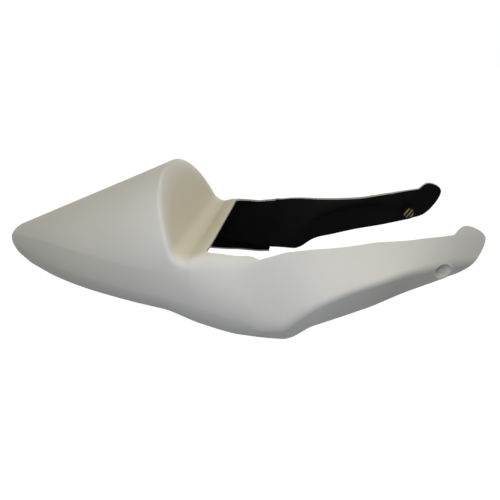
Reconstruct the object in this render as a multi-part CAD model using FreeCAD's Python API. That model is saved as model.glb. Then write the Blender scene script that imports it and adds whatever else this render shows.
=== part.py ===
import FreeCAD, Part
import math
import os
from FreeCAD import Vector

# Motorcycle tail fairing, one thin moulded shell.
# Lengths are in mm. Stations run forward from the tail tip along +X, heights are above the
# tail tip, and the shell is the same on both sides of the XZ plane. The finished shell is
# moved so that the axis of the two front bolts runs along Y through the origin.

WALL = 3.0

# Rounded nose and the straight crest of the tail cone
NOSE = 28.0
CREST_FOOT = 16.7
CREST_SLOPE = 0.425

# Bum stop and seat base, in side view
FACE_FOOT = 366.0
FACE_LEAN = 22.0
VALLEY_Z = 45.0
VALLEY_R = 24.0
RIDGE_R = 10.0

# Seat opening and the lip under the tail, in plan
OPENING_REAR = 409.0
OPENING_HALF = 118.0
OPENING_CORNER = 9.0
SHELF_END = 474.0
LIP_END = 475.0
UNDER_REAR = 130.0
FLOOR_TRIM = 0.5
FLOOR_CLEAR = 4.0

# Front bolts
BOLT_S = 733.0
BOLT_Z = 47.0
BOLT_R = 3.3
DIMPLE_R = 11.0
DIMPLE_FLOOR_R = 8.0
DIMPLE_DEPTH = 6.0
CUP_WALL = 2.5

# Cutters reach past the shell by this much
FAR = 900.0

# Guide lines of the body: (station, value) pairs
ROOF = [(345, 161), (409, 165), (463, 147), (497, 139), (529, 138), (573, 115), (636, 105), (700, 143),
        (730, 190), (760, 262), (800, 350)]
WIDEST = [(0, 16), (62, 46), (119, 76), (168, 97), (231, 118), (306, 137), (400, 153),
          (515, 161), (573, 159), (636, 147), (700, 125), (751, 113), (800, 107)]
WIDEST_Z = [(0, 0), (340, 4), (400, -8), (463, -22), (500, -30), (522, -28), (548, -8), (573, 13),
            (636, 41), (700, 55), (751, 62), (800, 67)]
BOTTOM_Z = [(0, -14), (62, -24), (119, -29), (340, -31), (403, -46), (463, -58), (525, -60),
            (537, -55), (566, -32), (603, -17), (733, 34), (800, 60)]
INSET = [(0, 10), (60, 20), (150, 25), (360, 25), (463, 16), (536, 7), (566, 3), (603, 6.5),
         (733, 2.5), (800, 2)]
FULLNESS = [(0, 2.0), (409, 2.0), (497, 1.75), (556, 1.45), (603, 1.35), (800, 1.35)]
TURN_UNDER = [(0, 2.2), (500, 2.2), (545, 1.15), (566, 1.0), (800, 1.0)]

# Height of the hollow's floor above the bottom edge: closed under the belly, open under the arms
FLOOR_LIFT = [(0, WALL), (540, WALL), (600, -8), (800, -8)]

# Top edge of the arms, in side view, and the outline of their front ends
ARM_TOP = [(409, 52), (480, 53.5), (529, 62), (597, 68.5), (657, 79), (741, 95.5)]
KNOB = [(749.5, 106), (757, 107.7), (767, 105), (775.5, 99.5), (779.5, 92)]
FRONT = [(777.5, 77), (769, 57.2), (757.2, 45), (745, 37.8), (735, 32)]

# Half width of the opening under the tail
UNDER = [(220, 50), (300, 70), (357, 88), (415, 113), (475, 125)]

# Front end of the seat shelf: (forward of SHELF_END, outward of OPENING_HALF)
STEP = [(0, 4), (16, 14), (46, 82)]

# Where the skin's sections lie, and how many points they have above and below the ridge
STATIONS = [1.2, 5, 13, 26, 50, 90, 140, 200, 260, 310, 350, 385] + list(range(415, 800, 15))
CROWN_SPANS = 8
CORNER_SPANS = 4
FLANK_SPANS = 4


def along(line, s):
    """Value at station s of a guide line, joined by smooth steps without overshoot."""
    if s <= line[0][0]:
        return line[0][1]
    if s >= line[-1][0]:
        return line[-1][1]
    gaps = [b[0] - a[0] for a, b in zip(line, line[1:])]
    rise = [(b[1] - a[1]) / g for a, b, g in zip(line, line[1:], gaps)]
    slopes = [rise[0]]
    for left, right in zip(rise, rise[1:]):
        slopes.append(2 * left * right / (left + right) if left * right > 0 else 0.0)
    slopes.append(rise[-1])
    k = max(i for i in range(len(gaps)) if line[i][0] <= s)
    t = (s - line[k][0]) / gaps[k]
    return ((2 * t ** 3 - 3 * t ** 2 + 1) * line[k][1] + (3 * t ** 2 - 2 * t ** 3) * line[k + 1][1]
            + gaps[k] * ((t ** 3 - 2 * t ** 2 + t) * slopes[k] + (t ** 3 - t ** 2) * slopes[k + 1]))


def crest(s):
    """Height of the crest, carried on as an imagined roof over the seat."""
    straight = ROOF[0][0] - 40
    if s < straight:
        return CREST_FOOT + CREST_SLOPE * s
    return along([(straight, CREST_FOOT + CREST_SLOPE * straight)] + ROOF, s)


def part_way(points, shares):
    """Points at the given shares of the length of a polyline."""
    marks = [0.0]
    for (y0, z0), (y1, z1) in zip(points, points[1:]):
        marks.append(marks[-1] + math.hypot(y1 - y0, z1 - z0))
    found = []
    for share in shares:
        k = max(i for i in range(len(points) - 1) if marks[i] <= share * marks[-1] + 1e-9)
        t = (share * marks[-1] - marks[k]) / (marks[k + 1] - marks[k])
        found.append((points[k][0] + t * (points[k + 1][0] - points[k][0]),
                      points[k][1] + t * (points[k + 1][1] - points[k][1])))
    return found, marks[-1]


def half_section(s):
    """Right half of the outer skin at station s, from the crest over the soft ridge to the
    bottom edge."""
    nose = math.sqrt(1 - ((NOSE - s) / NOSE) ** 2) if s < NOSE else 1.0
    wide = along(WIDEST, s)
    wide_z = along(WIDEST_Z, s)
    rise = crest(s) - wide_z
    drop = wide_z - along(BOTTOM_Z, s)
    inset = along(INSET, s)
    upper = 2 / along(FULLNESS, s)
    lower = 2 / along(TURN_UNDER, s)
    turns = [math.pi / 2 * i / 60 for i in range(61)]
    over = [(nose * wide * abs(math.cos(turn)) ** upper, nose * (wide_z + rise * math.sin(turn) ** upper))
            for turn in reversed(turns)]
    under = [(nose * (wide - inset + inset * abs(math.cos(turn)) ** lower),
              nose * (wide_z - drop * math.sin(turn) ** lower)) for turn in turns]
    over[0] = (0.0, over[0][1])
    soft = RIDGE_R * nose
    upper_length = part_way(over, [1.0])[1]
    lower_length = part_way(under, [1.0])[1]
    first = 1 - min(soft / upper_length, 0.4)
    last = min(soft / lower_length, 0.4)
    crown = part_way(over, [first * (1 - (1 - i / CROWN_SPANS) ** 1.3) for i in range(CROWN_SPANS + 1)])[0]
    flank = part_way(under, [last + (1 - last) * i / FLANK_SPANS for i in range(FLANK_SPANS + 1)])[0]
    corner = []
    for i in range(1, CORNER_SPANS):
        t = i / CORNER_SPANS
        weights = ((1 - t) ** 2, 2 * t * (1 - t), t ** 2)
        pulls = list(zip(weights, (crown[-1], under[0], flank[0])))
        corner.append((sum(w * y for w, (y, z) in pulls), sum(w * z for w, (y, z) in pulls)))
    return crown + corner + flank


def hollow_section(s):
    """The half section moved inward by the wall, ending at the hollow's floor."""
    chain = half_section(s)
    moved = [(0.0, chain[0][1] - WALL)]
    for (y0, z0), (y, z), (y1, z1) in zip(chain, chain[1:], chain[2:] + chain[-1:]):
        run = math.hypot(y1 - y0, z1 - z0)
        moved.append((y + WALL * (z1 - z0) / run, z - WALL * (y1 - y0) / run))
    floor = chain[-1][1] + along(FLOOR_LIFT, s)
    (y0, z0), (y1, z1) = moved[-2:]
    if abs(z0 - z1) > WALL:
        moved[-1] = (y1 + (y0 - y1) * (floor - z1) / (z0 - z1), floor)
    return moved


def through(points, knots):
    """Smooth curve that passes each point at its knot."""
    spline = Part.BSplineCurve()
    spline.interpolate(Points=points, Parameters=knots)
    return spline


def mean_knots(rows):
    """Knots spaced by the mean distance between neighbours over all rows."""
    knots = [0.0]
    for i in range(len(rows[0]) - 1):
        knots.append(knots[-1] + sum((row[i + 1] - row[i]).Length for row in rows) / len(rows))
    return knots


def closed_body(sections):
    """Solid whose skin is one smooth surface through the half sections and their mirror
    images, closed by a straight floor and two flat ends."""
    grid = []
    for s, chain in sections:
        left = [Vector(s, -y, z) for y, z in reversed(chain[1:])]
        grid.append(left + [Vector(s, y, z) for y, z in chain])
    columns = list(zip(*grid))
    along_knots = mean_knots(columns)
    cross_knots = mean_knots(grid)
    ways = [through(list(column), along_knots) for column in columns]
    rows = [through(list(row), cross_knots) for row in zip(*[way.getPoles() for way in ways])]
    surface = Part.BSplineSurface()
    surface.buildFromPolesMultsKnots([row.getPoles() for row in rows], ways[0].getMultiplicities(),
                                     rows[0].getMultiplicities(), ways[0].getKnots(),
                                     rows[0].getKnots(), False, False, 3, 3)
    skin = surface.toShape()
    faces = [skin]
    lengthwise = []
    for edge in skin.Edges:
        start, stop = edge.firstVertex().Point, edge.lastVertex().Point
        if abs(start.x - stop.x) > WALL:
            lengthwise.append(edge)
        else:
            faces.append(Part.Face(Part.Wire([edge, Part.makeLine(stop, start)])))
    faces.append(Part.makeRuledSurface(*lengthwise))
    shell = Part.makeShell(faces)
    shell.sewShape()
    solid = Part.makeSolid(shell)
    if solid.Volume < 0:
        solid.reverse()
    return solid


def smooth(points):
    spline = Part.BSplineCurve()
    spline.interpolate(Points=points)
    return spline.toShape()


def lines(points):
    return [Part.makeLine(a, b) for a, b in zip(points, points[1:])]


def side(points):
    return [Vector(s, 0, z) for s, z in points]


def plan(points):
    """The points in plan, and their mirror images."""
    return [Vector(s, y, 0) for s, y in points], [Vector(s, -y, 0) for s, y in points]


def outline(edges):
    return Part.Face(Part.Wire(Part.__sortEdges__(edges)))


def across(edges):
    """Side outline carried across the whole width."""
    face = outline(edges)
    face.translate(Vector(0, -FAR, 0))
    return face.extrude(Vector(0, 2 * FAR, 0))


def seat_edges(gap):
    """Side view of the bum-stop face, the valley, the seat base and the arm tops, sunk by gap."""
    lean = math.radians(FACE_LEAN)
    up_face = Vector(-math.sin(lean), 0, math.cos(lean))
    out = Vector(math.cos(lean), 0, math.sin(lean))
    radius = VALLEY_R + gap
    reach = radius * math.tan((math.pi / 2 - lean) / 2)
    foot = Vector(FACE_FOOT, 0, VALLEY_Z) - out * gap
    foot = foot + up_face * ((VALLEY_Z - gap - foot.z) / up_face.z)
    start = foot + up_face * reach
    centre = start + out * radius
    floor = Vector(foot.x + reach, 0, foot.z)
    middle = centre + (foot - centre).normalize() * radius
    top = foot + up_face * FAR
    arm = smooth([floor] + [Vector(s, 0, z - gap) for s, z in ARM_TOP])
    return [Part.makeLine(top, start), Part.Arc(start, middle, floor).toShape(), arm]


# Outer body, trimmed to the side outline
body = closed_body([(s, half_section(s)) for s in STATIONS])
seat = seat_edges(0.0)
top = seat[0].Vertexes[0].Point
end_s, end_z = FRONT[-1]
rest = lines(side([(end_s, end_z), (end_s, -FAR), (-FAR, -FAR), (-FAR, top.z), (top.x, top.z)]))
ends = [smooth(side([ARM_TOP[-1]] + KNOB + FRONT))]
outer = body.common(across(seat + ends + rest))

# Hollow, with a floor all along
hollow = closed_body([(s, hollow_section(s)) for s in STATIONS if s > NOSE / 2])

# Skin of the bum-stop face and the seat base, with the seat opening cut out in plan
sunk = seat_edges(WALL)
top = sunk[0].Vertexes[0].Point
last = sunk[-1].Vertexes[-1].Point
rest = lines(side([(last.x, last.z), (FAR, last.z), (FAR, -FAR), (-FAR, -FAR), (-FAR, top.z),
                   (top.x, top.z)]))
deck = outer.cut(across(sunk + rest))
middle = OPENING_CORNER * (1 - math.sqrt(0.5))
rounding = [(OPENING_REAR, OPENING_HALF - OPENING_CORNER), (OPENING_REAR + middle, OPENING_HALF - middle),
            (OPENING_REAR + OPENING_CORNER, OPENING_HALF)]
shelf = [(SHELF_END + s, OPENING_HALF + y) for s, y in STEP]
edges = []
for rear, inner in zip(plan(rounding), plan(shelf + [(FAR, shelf[-1][1])])):
    edges.append(Part.Arc(*rear).toShape())
    edges.extend(lines([rear[-1]] + inner))
    edges.extend(lines([Vector(OPENING_REAR, 0, 0), rear[0]]) + lines([inner[-1], Vector(FAR, 0, 0)]))
deck = deck.cut(outline(edges).extrude(Vector(0, 0, FAR)))

# Opening under the tail, inside the lip
right, left = plan(UNDER)
edges = [smooth(left[::-1] + [Vector(UNDER_REAR, 0, 0)] + right), Part.makeLine(right[-1], left[-1])]
under = outline(edges).extrude(Vector(0, 0, VALLEY_Z - FAR))

# Open bottom between the arms, before the end of the lip
foot = [(s, hollow_section(s)[-1]) for s in STATIONS if LIP_END <= s <= FLOOR_LIFT[-2][0] + VALLEY_R]
right, left = plan([(s, y - FLOOR_TRIM) for s, (y, z) in foot])
edges = [smooth(right), smooth(left), Part.makeLine(right[0], left[0]), Part.makeLine(right[-1], left[-1])]
slab = outline(edges).extrude(Vector(0, 0, 2 * FAR))
slab.translate(Vector(0, 0, -FAR))
brow = side([(s, z + FLOOR_CLEAR) for s, (y, z) in foot])
deep = [Vector(brow[0].x, 0, -FAR), Vector(brow[-1].x, 0, -FAR)]
strip = across([smooth(brow)] + lines([brow[0]] + deep + [brow[-1]]))

shell = outer.cut(hollow).cut(under).cut(slab.common(strip)).fuse(deck)

# Bolt dimples: a cup pressed inward at each front end, with the bolt hole through its floor
flank = along(WIDEST, BOLT_S)
for way in (1, -1):
    out = Vector(0, way, 0)
    floor = Vector(BOLT_S, way * (flank - DIMPLE_DEPTH), BOLT_Z)
    back = floor - out * CUP_WALL
    cup = Part.makeCone(DIMPLE_FLOOR_R + CUP_WALL, DIMPLE_R + CUP_WALL, DIMPLE_DEPTH + CUP_WALL, back, out)
    recess = Part.makeCone(DIMPLE_FLOOR_R, DIMPLE_R, DIMPLE_DEPTH, floor, out)
    mouth = Part.makeCylinder(DIMPLE_R, 4 * DIMPLE_R, floor + out * DIMPLE_DEPTH, out)
    hole = Part.makeCylinder(BOLT_R, 4 * DIMPLE_R, floor - out * 2 * DIMPLE_R, out)
    shell = shell.fuse(cup.common(outer)).cut(recess.fuse(mouth)).cut(hole)
shell.translate(Vector(-BOLT_S, 0, -BOLT_Z))

os.makedirs("parts", exist_ok=True)
shell.exportStep("parts/tail_fairing.step")
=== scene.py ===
import math

import bpy
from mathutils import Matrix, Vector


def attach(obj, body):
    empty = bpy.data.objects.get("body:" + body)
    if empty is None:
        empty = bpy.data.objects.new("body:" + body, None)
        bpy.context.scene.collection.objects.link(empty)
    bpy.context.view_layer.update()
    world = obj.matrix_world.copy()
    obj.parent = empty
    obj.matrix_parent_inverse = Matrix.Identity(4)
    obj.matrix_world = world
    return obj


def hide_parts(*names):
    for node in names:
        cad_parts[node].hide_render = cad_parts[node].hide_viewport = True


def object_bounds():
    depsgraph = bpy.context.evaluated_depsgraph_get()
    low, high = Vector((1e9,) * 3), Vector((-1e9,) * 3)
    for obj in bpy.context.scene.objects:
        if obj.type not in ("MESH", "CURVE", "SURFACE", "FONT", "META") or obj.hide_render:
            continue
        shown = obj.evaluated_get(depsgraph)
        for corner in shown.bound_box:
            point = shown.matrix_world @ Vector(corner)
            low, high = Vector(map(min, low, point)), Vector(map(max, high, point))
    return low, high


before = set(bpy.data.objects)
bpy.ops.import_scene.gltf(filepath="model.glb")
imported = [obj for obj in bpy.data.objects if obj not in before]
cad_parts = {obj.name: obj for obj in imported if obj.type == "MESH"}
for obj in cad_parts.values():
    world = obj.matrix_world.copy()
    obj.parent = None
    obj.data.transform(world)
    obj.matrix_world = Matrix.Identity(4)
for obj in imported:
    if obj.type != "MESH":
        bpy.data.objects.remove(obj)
cad_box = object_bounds()

# Tail fairing shell: one thin moulding of glass-fibre laminate, open underneath, with a white
# gelcoat outside and a black coat inside. It is laid up in a mould, trimmed at its edges, and
# bolted to the subframe through a dimple at the front end of each arm.

MM = 0.001
TINY = 1e-9
HAIR = 1e-6
WALL = 3.0
NOSE = 28.0
NOSE_START = 1.2
CREST_FOOT = 15.5
CREST_SLOPE = 0.425
FACE_FOOT = 367.0
FACE_LEAN = math.radians(19.5)
VALLEY_Z = 45.0
VALLEY_R = 24.0
OPENING_REAR = 409.0
OPENING_HALF = 122.0
OPENING_CORNER = 10.0
OPENING_FLARE = 4.0
SEAT_SHARE = 0.72
SHELF_END = 474.0
SHELF_STEP = 40.0
SHELF_OUT = 30.0
LEAST_SHELF = 0.2
EDGE_LIFT = 1.5
LIFT_START = 85.0
LIFT_REACH = 35.0
RIM_SHARE = 0.354
RIDGE_REACH = 0.4
LEAST_RIDGE = 0.1
LIP_END = 475.0
BOLT_S = 733.0
BOLT_Z = 47.0
BOLT_R = 3.3
DIMPLE_R = 11.0
DIMPLE_FLOOR_R = 8.0
DIMPLE_DEPTH = 6.0
PILOT_DEPTH = 0.6

# Guide lines: stations run forward from the tail tip, heights are above it, both in mm
ROOF = [(305, 145.1), (345, 160.3), (409, 165), (463, 147), (497, 142), (529, 148), (573, 125),
        (636, 111), (700, 152), (730, 200), (760, 270), (800, 350)]
WIDEST = [(0, 16), (62, 46), (119, 76), (168, 97), (231, 118), (306, 137), (400, 153),
          (470, 161), (520, 161.5), (573, 160.5), (636, 151), (700, 129), (751, 115), (800, 108)]
WIDEST_Z = [(0, -2), (60, 4), (150, 7), (340, 4), (400, -2), (440, -8), (470, -16), (500, -35),
            (522, -36), (548, -14), (573, 7), (636, 37), (700, 52), (751, 59), (800, 63)]
BOTTOM_Z = [(0, -15), (30, -26), (62, -35), (119, -36), (340, -39), (403, -53), (463, -60),
            (525, -60), (537, -56), (566, -34), (603, -19), (733, 33), (800, 60)]
INSET = [(0, 6), (60, 7), (150, 7), (360, 8), (440, 8), (470, 7), (500, 6), (536, 7), (566, 7),
         (603, 10), (660, 10), (733, 5), (800, 3)]
ARM_TOP = [(375, 45.1), (409, 52), (480, 54), (529, 63.5), (597, 69.5), (657, 79), (741, 95.5)]
SHELF_EDGE = [(330, 50)] + ARM_TOP[1:]
KNOB = [(749.5, 106), (757, 107.7), (767, 105), (775.5, 99.5), (779.5, 92)]
FRONT = [(777.5, 77), (769, 57.2), (757.2, 45), (742, 37.5)]
UNDER = [(130, 0), (142, 22), (220, 50), (300, 70), (357, 90), (415, 120), (475, 132)]

# How the section changes: powers of its curves, half width of the shoulder, lengths of rounding
FULLNESS = [(0, 1.8), (220, 1.8), (310, 2.05), (409, 2.1), (497, 1.8), (556, 1.45), (603, 1.35),
            (800, 1.35)]
TURN_UNDER = [(0, 2.2), (480, 2.2), (510, 1.2), (530, 1.0), (800, 1.0)]
FLATNESS = [(330, 0), (400, 0.9), (450, 1.0), (560, 0.9), (800, 0.8)]
SHOULDER = [(380, 150), (409, 140), (474, 137), (490, 136), (520, 150), (800, 150)]
RIDGE_SOFT = [(0, 12), (150, 24), (450, 24), (500, 16), (540, 11), (600, 7), (800, 7)]
RIM_SOFT = [(0, 19), (325, 19), (352, 17), (368, 24), (390, 42), (450, 42), (492, 1.5), (800, 1.5)]
LIFT_SHARE = [(375, 0), (409, 1), (460, 1), (490, 0)]

# Counts of the quads, along the shell and across each strip of it
ARCH_STEPS = 90
UNDER_STEPS = 30
RIDGE_STEPS = 8
CURVE_STEPS = 10
SEAT_ROWS = 34
SHELF_ROWS = 10
FLANK_ROWS = 26
LOWER_ROWS = 16
LIP_ROWS = 8
NOSE_COLUMNS = 12
TAIL_COLUMNS = 64
FACE_COLUMNS = 72
BASE_COLUMNS = 12
CORNER_COLUMNS = 8
SHELF_COLUMNS = 24
STEP_COLUMNS = 12
ARM_COLUMNS = 104
FRONT_COLUMNS = 48
EDGE_COLUMNS = 12
FACE_TOP = 300.0
FACE_END = 380.0
LAST_STATION = 700.0
TIP_POWER = 3


def smooth(t):
    """Soft step from 0 to 1 as t goes from 0 to 1."""
    t = min(max(t, 0.0), 1.0)
    return t * t * (3 - 2 * t)


def along(line, s):
    """Value at station s of a guide line, joined by smooth curves without overshoot."""
    if s <= line[0][0]:
        return line[0][1]
    if s >= line[-1][0]:
        return line[-1][1]
    gaps = [b[0] - a[0] for a, b in zip(line, line[1:])]
    rise = [(b[1] - a[1]) / gap for a, b, gap in zip(line, line[1:], gaps)]
    slopes = [rise[0]]
    for left, right in zip(rise, rise[1:]):
        slopes.append(2 * left * right / (left + right) if left * right > 0 else 0.0)
    slopes.append(rise[-1])
    k = max(i for i in range(len(gaps)) if line[i][0] <= s)
    t = (s - line[k][0]) / gaps[k]
    return ((2 * t ** 3 - 3 * t ** 2 + 1) * line[k][1] + (3 * t ** 2 - 2 * t ** 3) * line[k + 1][1]
            + gaps[k] * ((t ** 3 - 2 * t ** 2 + t) * slopes[k] + (t ** 3 - t ** 2) * slopes[k + 1]))


def crest(s):
    """Height of the crest, carried on as an imagined roof over the seat."""
    return CREST_FOOT + CREST_SLOPE * s if s < ROOF[0][0] else along(ROOF, s)


def seat(s):
    """Height of the bum-stop face, the valley and the seat base at station s."""
    turn = math.pi / 2 - FACE_LEAN
    reach = VALLEY_R * math.tan(turn / 2)
    valley_end = FACE_FOOT + reach
    if s < FACE_FOOT - reach * math.sin(FACE_LEAN):
        return VALLEY_Z + (FACE_FOOT - s) / math.tan(FACE_LEAN)
    if s < valley_end:
        return VALLEY_Z + VALLEY_R - math.sqrt(VALLEY_R ** 2 - (valley_end - s) ** 2)
    return along([(valley_end, VALLEY_Z)] + ARM_TOP[1:], s)


def soft_min(a, b, k):
    """The smaller of two heights, rounded over where they are within k of each other."""
    h = max(k - abs(a - b), 0.0) / k
    return min(a, b) - h * h * k / 4


def even(count):
    """Shares from 0 to 1 in even steps."""
    return [i / count for i in range(count + 1)]


def spread(start, stop, count):
    """Even stations from start up to, but without, stop."""
    return [start + (stop - start) * i / count for i in range(count)]


def bezier(p, q, r, t):
    """Point of the curve from p to r that bends toward q, t of the way along it."""
    return tuple((1 - t) ** 2 * a + 2 * t * (1 - t) * b + t * t * c for a, b, c in zip(p, q, r))


def marks(points):
    """Length of a polyline up to each of its points."""
    lengths = [0.0]
    for a, b in zip(points, points[1:]):
        lengths.append(lengths[-1] + math.dist(a, b))
    return lengths


def part_way(points, shares):
    """Points at the given shares of the length of a polyline."""
    points = points if len(points) > 1 else points * 2
    lengths = marks(points)
    found = []
    for share in shares:
        goal = share * lengths[-1]
        k = 0
        while k < len(points) - 2 and lengths[k + 1] < goal:
            k += 1
        step = lengths[k + 1] - lengths[k]
        t = (goal - lengths[k]) / step if step > TINY else 0.0
        found.append(tuple(a + t * (b - a) for a, b in zip(points[k], points[k + 1])))
    return found


def flatten(over, s):
    """Draws the flank below the shelf edge toward a straight slope, under a narrower shoulder."""
    flat = along(FLATNESS, s)
    if not flat:
        return over
    wide, wide_z, full = along(WIDEST, s), along(WIDEST_Z, s), along(FULLNESS, s)
    edge_z = along(SHELF_EDGE, s)
    share = (edge_z - wide_z) / (crest(s) - wide_z)
    edge_y = wide * max(1 - share ** full, 0.0) ** (1 / full)
    tuck = min(along(SHOULDER, s) / edge_y, 1.0)
    drawn = []
    for y, z in over:
        slope = wide + (tuck * edge_y - wide) * (z - wide_z) / (edge_z - wide_z)
        drawn.append((y + flat * (slope - y) if z < edge_z else tuck * y, z))
    return drawn


def round_ridge(over, under, soft):
    """Rounds the corner between the upper and the lower flank, from soft mm before it."""
    if soft < LEAST_RIDGE:
        return over, under
    over_marks, under_marks = marks(over), marks(under)
    first = 1 - min(soft / over_marks[-1], RIDGE_REACH)
    last = min(soft / under_marks[-1], RIDGE_REACH)
    start = part_way(over, [first])[0]
    stop = part_way(under, [last])[0]
    above = [p for p, mark in zip(over, over_marks) if mark / over_marks[-1] < first] + [start]
    below = [stop] + [p for p, mark in zip(under, under_marks) if mark / under_marks[-1] > last]
    corner = [bezier(start, under[0], stop, t) for t in even(RIDGE_STEPS)]
    middle = RIDGE_STEPS // 2
    return above + corner[1:middle + 1], corner[middle:-1] + below


def arch(s):
    """Half section of the outer skin, without the seat: points from the crest to the ridge, and
    points from the ridge to the bottom edge."""
    nose = math.sqrt(max(1 - ((NOSE - s) / NOSE) ** 2, 0.0)) if s < NOSE else 1.0
    wide, wide_z = along(WIDEST, s), along(WIDEST_Z, s)
    rise = crest(s) - wide_z
    drop = wide_z - along(BOTTOM_Z, s)
    inset, lower = along(INSET, s), along(TURN_UNDER, s)
    upper = 2 / along(FULLNESS, s)
    over = []
    for share in reversed(even(ARCH_STEPS)):
        turn = math.pi / 2 * share
        over.append((nose * wide * abs(math.cos(turn)) ** upper,
                     nose * (wide_z + rise * math.sin(turn) ** upper)))
    over[0] = (0.0, over[0][1])
    under = [(nose * (wide - inset * t ** lower), nose * (wide_z - drop * t))
             for t in even(UNDER_STEPS)]
    return round_ridge(flatten(over, s), under, along(RIDGE_SOFT, s) * nose)


def edge_lift(s, y):
    """How far the seat base rises toward the edges of the opening."""
    return EDGE_LIFT * smooth((y - LIFT_START) / LIFT_REACH) * along(LIFT_SHARE, s)


def opening_half(s):
    """Half width of the seat opening: the split between the seat and the flank rows."""
    if s <= OPENING_REAR:
        return min(OPENING_HALF - OPENING_CORNER, SEAT_SHARE * along(WIDEST, s))
    away = OPENING_REAR + OPENING_CORNER - s
    if away > 0:
        return OPENING_HALF - OPENING_CORNER + math.sqrt(OPENING_CORNER ** 2 - away ** 2)
    if s < SHELF_END:
        return OPENING_HALF - OPENING_FLARE * away / (SHELF_END - OPENING_REAR)
    return OPENING_HALF + OPENING_FLARE + SHELF_OUT * smooth((s - SHELF_END) / SHELF_STEP)


def outer_rows(s):
    """Points of the outer skin at station s, in four runs: seat rows, shelf rows, upper flank
    rows and lower flank rows."""
    over, under = arch(s)
    height = seat(s)
    soft = along(RIM_SOFT, s)
    capped = [(y, soft_min(z, height + edge_lift(s, y), soft)) for y, z in over]
    edge_z = over[-1][1] + RIM_SHARE * (over[0][1] - over[-1][1])
    edge_z = height if s > FACE_FOOT + VALLEY_R else min(edge_z, height)
    edge = max(i for i in range(len(over)) if over[i][1] >= edge_z - TINY)
    rim = capped[edge]
    if edge < len(over) - 1:
        (y0, z0), (y1, z1) = over[edge], over[edge + 1]
        edge_y = y0 + (z0 - edge_z) / (z0 - z1) * (y1 - y0)
        rim = (edge_y, soft_min(edge_z, height + edge_lift(s, edge_y), soft))
    top = [p for p in capped[:edge + 1] if p[0] < rim[0] - HAIR] + [rim]
    side = [rim] + capped[edge + 1:]
    split = opening_half(s)
    if split >= rim[0] - LEAST_SHELF:
        return top, [rim, rim], side, under
    cut = max(i for i in range(len(top)) if top[i][0] <= split)
    t = (split - top[cut][0]) / (top[cut + 1][0] - top[cut][0])
    middle = (split, top[cut][1] + t * (top[cut + 1][1] - top[cut][1]))
    return top[:cut + 1] + [middle], [middle] + top[cut + 1:], side, under


def rows(x, points, count):
    """Evenly spaced grid points along a run of the section at x."""
    return [(x, y, z) for y, z in part_way(points, even(count))]


stations = [NOSE * (i / NOSE_COLUMNS) ** 2 for i in range(NOSE_COLUMNS)]
stations += spread(NOSE, FACE_TOP, TAIL_COLUMNS) + spread(FACE_TOP, FACE_END, FACE_COLUMNS)
stations += spread(FACE_END, OPENING_REAR, BASE_COLUMNS)
stations += [OPENING_REAR + OPENING_CORNER * (1 - math.cos(math.pi / 2 * i / CORNER_COLUMNS))
             for i in range(CORNER_COLUMNS)]
stations += spread(OPENING_REAR + OPENING_CORNER, SHELF_END, SHELF_COLUMNS) + [SHELF_END]
stations += spread(LIP_END, SHELF_END + SHELF_STEP, STEP_COLUMNS)
stations += spread(SHELF_END + SHELF_STEP, LAST_STATION, ARM_COLUMNS) + [LAST_STATION]

seat_grid, shelf_grid, flank_grid, lip_grid = [], [], [], []
for s in stations:
    x = max(s, NOSE_START + s * (NOSE - NOSE_START) / NOSE)
    top, shelf, side, under = outer_rows(s)
    if s <= OPENING_REAR:
        seat_grid.append(rows(x, top, SEAT_ROWS))
    if s <= SHELF_END + SHELF_STEP:
        shelf_grid.append(rows(x, shelf, SHELF_ROWS))
    flank_grid.append(rows(x, side, FLANK_ROWS) + rows(x, under, LOWER_ROWS)[1:])
    if s <= LIP_END:
        low_y, low_z = under[-1]
        inner = min(along(UNDER, s), low_y)
        lip_grid.append([(x, low_y + (inner - low_y) * t, low_z) for t in even(LIP_ROWS)])


def skin_y(s, z):
    """Half width of the outer skin at station s and height z."""
    over, under = arch(s)
    chain = over + under[1:]
    for (y0, z0), (y1, z1) in zip(chain, chain[1:]):
        if z0 >= z >= z1:
            t = (z0 - z) / (z0 - z1) if z0 > z1 else 0.0
            return y0 + t * (y1 - y0)
    return chain[-1][0]


def rounded(points):
    """Polyline of a smooth curve through given points."""
    ends = [tuple(2 * a - b for a, b in zip(points[0], points[1]))] + points
    ends.append(tuple(2 * a - b for a, b in zip(points[-1], points[-2])))
    line = [points[0]]
    for p0, p1, p2, p3 in zip(ends, ends[1:], ends[2:], ends[3:]):
        for t in even(CURVE_STEPS)[1:-1]:
            line.append(tuple(0.5 * (2 * b + (c - a) * t + (2 * a - 5 * b + 4 * c - d) * t * t
                                     + (3 * b - a - 3 * c + d) * t ** 3)
                              for a, b, c, d in zip(p0, p1, p2, p3)))
        line.append(p2)
    return line


# Front ends of the arms: the columns fan out from the last station to the rounded tip
tip_line = rounded([ARM_TOP[-1]] + KNOB + FRONT)
top_cut = tip_line.index(KNOB[-2])
low_cut = tip_line.index(FRONT[0])
top_line = [(s, seat(s)) for s in spread(LAST_STATION, ARM_TOP[-1][0], EDGE_COLUMNS)]
top_line = part_way(top_line + tip_line[:top_cut + 1], even(FRONT_COLUMNS))
low_line = [(s, along(BOTTOM_Z, s)) for s in spread(LAST_STATION, FRONT[-1][0], EDGE_COLUMNS)]
low_line = part_way(low_line + tip_line[:low_cut - 1:-1], even(FRONT_COLUMNS))
last_rows = flank_grid[-1]
shares = [(last_rows[0][2] - z) / (last_rows[0][2] - last_rows[-1][2]) for x, y, z in last_rows]
end_column = part_way(tip_line[top_cut:low_cut + 1], shares)
tip_grid = [last_rows]
for u, a, b in zip(even(FRONT_COLUMNS)[1:], top_line[1:], low_line[1:]):
    column = []
    for v, end in zip(shares, end_column):
        straight = [(1 - v) * top_line[-1][k] + v * low_line[-1][k] for k in (0, 1)]
        s, z = [(1 - v) * a[k] + v * b[k] + u ** TIP_POWER * (end[k] - straight[k]) for k in (0, 1)]
        column.append((s, skin_y(s, z), z))
    tip_grid.append(column)

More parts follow.
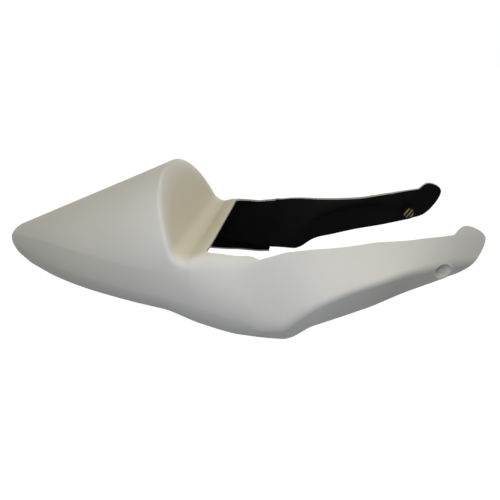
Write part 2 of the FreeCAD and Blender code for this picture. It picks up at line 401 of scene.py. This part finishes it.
# Radii of the rings of quads round a bolt, from its middle to just outside the dimple
RING_GAP = 0.4
FLOOR_GAP = 0.3
RINGS = [0, BOLT_R / 2, BOLT_R - RING_GAP, BOLT_R, DIMPLE_FLOOR_R - FLOOR_GAP,
         DIMPLE_FLOOR_R + RING_GAP, DIMPLE_R - RING_GAP, DIMPLE_R + RING_GAP]


def ring_turn(i, j):
    """Angle of the grid place i, j on its square ring, once the square is drawn as a circle."""
    if i == j == 0:
        return 0.0
    if abs(i) >= abs(j):
        return math.pi / 4 * j / i + (0 if i > 0 else math.pi)
    return math.pi / 2 * (1 if j > 0 else -1) - math.pi / 4 * i / j


def press_dimple(grid):
    """Turns a square block of the grid round the bolt into rings, and presses them inward."""
    count = len(RINGS)
    blocks = [(i, j) for i in range(count, len(grid) - count)
              for j in range(count, len(grid[0]) - count)]
    ci, cj = min(blocks, key=lambda ij: math.dist(grid[ij[0]][ij[1]][::2], (BOLT_S, BOLT_Z)))
    floor_y = skin_y(BOLT_S, BOLT_Z) - DIMPLE_DEPTH
    for i in range(1 - count, count):
        for j in range(1 - count, count):
            r = RINGS[max(abs(i), abs(j))]
            s = BOLT_S + r * math.cos(ring_turn(i, j))
            z = BOLT_Z - r * math.sin(ring_turn(i, j))
            skin = skin_y(s, z)
            depth = min(max((DIMPLE_R - r) / (DIMPLE_R - DIMPLE_FLOOR_R), 0.0), 1.0)
            pilot = PILOT_DEPTH if r < BOLT_R else 0.0
            grid[ci + i][cj + j] = (s, skin + depth * (floor_y - skin) - pilot, z)


def shell_patch(name, grid):
    """Quad sheet through a grid of points in mm from the tail tip."""
    bpy.ops.object.select_all(action="DESELECT")
    bpy.ops.mesh.primitive_grid_add(x_subdivisions=len(grid[0]) - 1, y_subdivisions=len(grid) - 1)
    patch = bpy.context.object
    patch.name = name
    points = [((x - BOLT_S) * MM, y * MM, (z - BOLT_Z) * MM) for row in grid for x, y, z in row]
    for vertex, point in zip(patch.data.vertices, points):
        vertex.co = point
    return patch


press_dimple(tip_grid)
patches = [shell_patch("seat", seat_grid), shell_patch("shelf", shelf_grid),
           shell_patch("flank", flank_grid), shell_patch("lip", lip_grid),
           shell_patch("tip", tip_grid)]

# Half shell: joined, mirrored to the other side, merged, and turned to face outward
WELD = 0.02 * MM
CROWN_HALF = 20.0 * MM
SMOOTH_ANGLE = math.radians(40)
bpy.ops.object.select_all(action="DESELECT")
for patch in patches:
    patch.select_set(True)
bpy.context.view_layer.objects.active = patches[0]
bpy.ops.object.join()
shell = bpy.context.object
shell.name = "tail_fairing_shell"
mirror = shell.modifiers.new("other half", "MIRROR")
mirror.use_axis = (False, True, False)
mirror.use_clip = True
mirror.merge_threshold = WELD
bpy.ops.object.modifier_apply(modifier=mirror.name)
bpy.ops.object.mode_set(mode="EDIT")
bpy.ops.mesh.select_all(action="SELECT")
bpy.ops.mesh.remove_doubles(threshold=WELD)
bpy.ops.mesh.delete_loose()
bpy.ops.mesh.select_all(action="SELECT")
bpy.ops.mesh.normals_make_consistent(inside=False)
bpy.ops.object.mode_set(mode="OBJECT")
middle_faces = [face for face in shell.data.polygons if abs(face.center.y) < CROWN_HALF]
crown = max(middle_faces, key=lambda face: face.center.z)
if crown.normal.z < 0:
    bpy.ops.object.mode_set(mode="EDIT")
    bpy.ops.mesh.select_all(action="SELECT")
    bpy.ops.mesh.flip_normals()
    bpy.ops.object.mode_set(mode="OBJECT")

# Painted shade in the seat recess, darker and yellower deeper below the arch: where it starts and
# fades, in mm
TINT_REAR = 250.0
TINT_FRONT = 439.0
TINT_SIDE = 138.0
TINT_FADE = 26.0
TINT_DEPTH = 3.0
TINT_REACH = 40.0
TINT_ALONG = [(395, 1), (TINT_FRONT, 0)]


def seat_painted_shade(point):
    """Share of painted seat shade at a point of the skin: how far below the tail's arch it lies."""
    s, y, z = point.x / MM + BOLT_S, abs(point.y) / MM, point.z / MM + BOLT_Z
    wide_z = along(WIDEST_Z, s)
    if not TINT_REAR < s < TINT_FRONT or z < wide_z:
        return 0.0
    full = along(FULLNESS, s)
    share = min(y / along(WIDEST, s), 1.0) ** full
    over = wide_z + (crest(s) - wide_z) * (1 - share) ** (1 / full)
    inside = min(max((TINT_SIDE - y) / TINT_FADE, 0.0), 1.0)
    below = min(max((over - z - TINT_DEPTH) / TINT_REACH, 0.0), 1.0)
    return smooth(below * inside * along(TINT_ALONG, s))


# Painted shade: each point of the seat recess gets its share of a darker, yellower colour
tint = shell.data.attributes.new("seat_painted_shade", "FLOAT", "POINT")
for vertex, mark in zip(shell.data.vertices, tint.data):
    mark.value = seat_painted_shade(vertex.co)


class Value:
    """A shader socket that takes part in Python sums."""

    def __init__(self, tree, socket):
        self.tree = tree
        self.socket = socket

    @classmethod
    def node(cls, tree, kind, settings, values, outputs=(0,)):
        """Adds a node with its settings, then its socket values or links: one value for each
        of the named outputs, or the value itself where there is one."""
        made = tree.nodes.new(kind)
        for name, setting in settings.items():
            setattr(made, name, setting)
        for key, value in values.items():
            if isinstance(value, cls):
                tree.links.new(value.socket, made.inputs[key])
            else:
                made.inputs[key].default_value = value
        found = [cls(tree, made.outputs[output]) for output in outputs]
        return found[0] if len(found) == 1 else found

    def feed(self, made, key):
        """Links the value to a socket of a node that is there already."""
        self.tree.links.new(self.socket, made.inputs[key])

    def sum(self, operation, a, b):
        return Value.node(self.tree, "ShaderNodeMath", {"operation": operation}, {0: a, 1: b})

    def __add__(self, other):
        return self.sum("ADD", self, other)

    def __radd__(self, other):
        return self.sum("ADD", other, self)

    def __sub__(self, other):
        return self.sum("SUBTRACT", self, other)

    def __rsub__(self, other):
        return self.sum("SUBTRACT", other, self)

    def __mul__(self, other):
        return self.sum("MULTIPLY", self, other)

    def __rmul__(self, other):
        return self.sum("MULTIPLY", other, self)

    def __lt__(self, other):
        return self.sum("LESS_THAN", self, other)

    def __gt__(self, other):
        return self.sum("GREATER_THAN", self, other)


MIX_A, MIX_B, MIX_COLOUR = 6, 7, 2


def blend(tree, factor, a, b):
    """Colour a where factor is 0 and b where it is 1."""
    return Value.node(tree, "ShaderNodeMix", {"data_type": "RGBA"}, {0: factor, MIX_A: a, MIX_B: b},
                      (MIX_COLOUR,))


def object_place(tree):
    """Object coordinates."""
    return Value.node(tree, "ShaderNodeTexCoord", {}, {}, ("Object",))


def new_material(name, roughness):
    """New material with its node tree and its shader."""
    material = bpy.data.materials.new(name)
    material.use_nodes = True
    shader = material.node_tree.nodes["Principled BSDF"]
    shader.inputs["Roughness"].default_value = roughness
    return material, material.node_tree, shader


SATIN = 0.5
GELCOAT_DULL = (0.74, 0.725, 0.68, 1)
GELCOAT_PALE = (0.78, 0.765, 0.72, 1)
# Painted shade of the seat recess, darker and yellower, and how far it is mixed in
GELCOAT_SEAT_SHADE = (0.67, 0.62, 0.485, 1)
GELCOAT_SHINE = 0.1
SEAT_SHADE_SHARE = 0.9
CLOUDS = {"Scale": 9.0, "Detail": 2.0}


def gelcoat():
    """White moulded skin, faintly clouded, with painted shade, darker and yellower, on the seat."""
    material, tree, shader = new_material("white gelcoat", SATIN)
    cloud = Value.node(tree, "ShaderNodeTexNoise", {}, {"Vector": object_place(tree), **CLOUDS})
    clean = blend(tree, cloud, GELCOAT_DULL, GELCOAT_PALE)
    tint = Value.node(tree, "ShaderNodeAttribute", {"attribute_name": "seat_painted_shade"}, {}, ("Fac",))
    # Painted shade: the seat recess is mixed toward the darker, yellower colour
    blend(tree, tint * SEAT_SHADE_SHARE, clean, GELCOAT_SEAT_SHADE).feed(shader, "Base Color")
    shader.inputs["Specular IOR Level"].default_value = GELCOAT_SHINE
    return material


BLACK = (0.0065, 0.0065, 0.0062, 1)
BLACK_SHINE = 0.03
BARE_R = 8.8 * MM
FIBRE_DARK = (0.02, 0.017, 0.008, 1)
FIBRE_PALE = (0.34, 0.32, 0.15, 1)
FIBRE_PITCH = 6.0 * MM
FIBRE_TURN = math.radians(30)
FIBRE_LEVEL = 0.1


def black_coat():
    """Black inside coat, with bare striped glass fibre on the back of each bolt dimple."""
    material, tree, shader = new_material("black inside coat", SATIN)
    x, z = Value.node(tree, "ShaderNodeSeparateXYZ", {}, {0: object_place(tree)}, ("X", "Z"))
    bare = x * x + z * z < BARE_R ** 2
    wave = 2 * math.pi / FIBRE_PITCH
    across = x * (wave * math.cos(FIBRE_TURN)) - z * (wave * math.sin(FIBRE_TURN))
    stripes = Value.node(tree, "ShaderNodeMath", {"operation": "SINE"}, {0: across}) > FIBRE_LEVEL
    fibre = blend(tree, stripes, FIBRE_DARK, FIBRE_PALE)
    blend(tree, bare, BLACK, fibre).feed(shader, "Base Color")
    shader.inputs["Specular IOR Level"].default_value = BLACK_SHINE
    return material


CUT_LAMINATE = (0.40, 0.40, 0.36, 1)


def trimmed_edge():
    """Cut edge of the laminate."""
    material, _, shader = new_material("trimmed edge", SATIN)
    shader.inputs["Base Color"].default_value = CUT_LAMINATE
    return material


# Wall: thickened inward, the inside faces black and the rim of the wall bare laminate
for material in (gelcoat(), black_coat(), trimmed_edge()):
    shell.data.materials.append(material)
wall = shell.modifiers.new("wall", "SOLIDIFY")
wall.thickness = WALL * MM
wall.offset = -1.0
wall.use_even_offset = False
wall.material_offset = 1
wall.material_offset_rim = 2
bpy.ops.object.select_all(action="DESELECT")
shell.select_set(True)
bpy.context.view_layer.objects.active = shell
bpy.ops.object.modifier_apply(modifier=wall.name)
bpy.ops.object.shade_smooth_by_angle(angle=SMOOTH_ANGLE)
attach(shell, "root")
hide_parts("tail_fairing")

# Studio floor: a wide sheet of white paper just under the shell, lying loose. It looks white to
# the camera and in reflections, so that only a trace of the shell's shadow shows on it, and it
# throws little light back up.
FLOOR_DROP = 0.5 * MM
FLOOR_SIZE = 30.0
PAPER_ROUGH = 0.9
PAPER = (0.9, 0.9, 0.9, 1)
PAPER_BOUNCE = (0.05, 0.08, 0.12, 1)
WHITE = (1, 1, 1, 1)
GLOW = 1.12
GLOW_SHARE = 0.88
SEEN_BY = ("Is Camera Ray", "Is Glossy Ray", "Is Transmission Ray")


def seen_rays(tree):
    """1 for rays of the camera and of reflections or glass, 0 for the rest."""
    camera_ray, glossy_ray, glass_ray = Value.node(tree, "ShaderNodeLightPath", {}, {}, SEEN_BY)
    return camera_ray + glossy_ray + glass_ray


bpy.ops.object.select_all(action="DESELECT")
bpy.ops.mesh.primitive_plane_add(size=FLOOR_SIZE, location=(0, 0, cad_box[0][2] - FLOOR_DROP))
floor = bpy.context.object
floor.name = "floor"
paper, tree, shader = new_material("white paper", PAPER_ROUGH)
shader.inputs["Base Color"].default_value = PAPER
bounce = Value.node(tree, "ShaderNodeBsdfDiffuse", {}, {"Color": PAPER_BOUNCE})
glow = Value.node(tree, "ShaderNodeEmission", {}, {"Color": WHITE, "Strength": GLOW})
lit = Value(tree, shader.outputs[0])
white = Value.node(tree, "ShaderNodeMixShader", {}, {0: GLOW_SHARE, 1: lit, 2: glow})
mixed = Value.node(tree, "ShaderNodeMixShader", {}, {0: seen_rays(tree), 1: bounce, 2: white})
mixed.feed(tree.nodes["Material Output"], 0)
floor.data.materials.append(paper)

# Studio light: a white room that lights the shell evenly and a little warm, and five soft boxes
# around it that the camera doesn't see. The camera stands where the photograph was taken.
SKY = (1.0, 0.94, 0.72, 1)
SKY_LEVEL = 0.31
world = bpy.context.scene.world or bpy.data.worlds.new("studio")
bpy.context.scene.world = world
world.use_nodes = True
tree = world.node_tree
room = tree.nodes["Background"]
seen = seen_rays(tree)
blend(tree, seen, SKY, WHITE).feed(room, "Color")
(seen * (1 - SKY_LEVEL) + SKY_LEVEL).feed(room, "Strength")

COOL = (0.93, 0.98, 1.2)
COOLER = (0.88, 0.98, 1.2)
WARM = (1.0, 0.95, 0.7)
WARMISH = (1.0, 1.0, 0.92)
PLAIN = (1.0, 0.98, 0.94)


def softbox(name, place, aim, size, power, colour):
    """Soft box at a place, turned to a point, unseen by the camera."""
    bpy.ops.object.light_add(type="AREA", location=place)
    lamp = bpy.context.object
    lamp.name = name
    lamp.data.shape = "RECTANGLE"
    lamp.data.size, lamp.data.size_y = size
    lamp.data.energy = power
    lamp.data.color = colour
    lamp.visible_camera = False
    x, y, z = [a - b for a, b in zip(place, aim)]
    lamp.rotation_euler = (math.atan2(math.hypot(x, y), z), 0, math.atan2(y, x) + math.pi / 2)


softbox("key softbox", (-0.24, -0.43, 0.215), (-0.24, -0.15, -0.03), (0.20, 0.14), 0.47, COOL)
softbox("rear softbox", (-0.80, -0.75, 0.36), (-0.15, -0.10, -0.03), (0.40, 0.30), 0.9, COOLER)
softbox("top softbox", (-0.50, -0.50, 0.60), (-0.05, -0.10, 0), (0.42, 0.30), 0.6, WARM)
softbox("front softbox", (0.40, -0.05, 0.50), (-0.36, 0, 0.02), (0.40, 0.40), 1.6, WARMISH)
softbox("far softbox", (-0.25, 0.95, 0.18), (-0.25, 0, -0.02), (0.60, 0.40), 1.6, PLAIN)

CAMERA_PLACE = (-0.18405, -0.619, 0.2568)
CAMERA_DOWN = math.radians(25.63)
CAMERA_TURN = math.radians(8.64)
bpy.ops.object.camera_add(location=CAMERA_PLACE, rotation=(math.pi / 2 - CAMERA_DOWN, 0, CAMERA_TURN))
camera = bpy.context.object
camera.data.sensor_width = 36.0
camera.data.lens = 28.8
camera.data.clip_start = 0.01
bpy.context.scene.camera = camera
bpy.context.scene.view_settings.view_transform = "Standard"
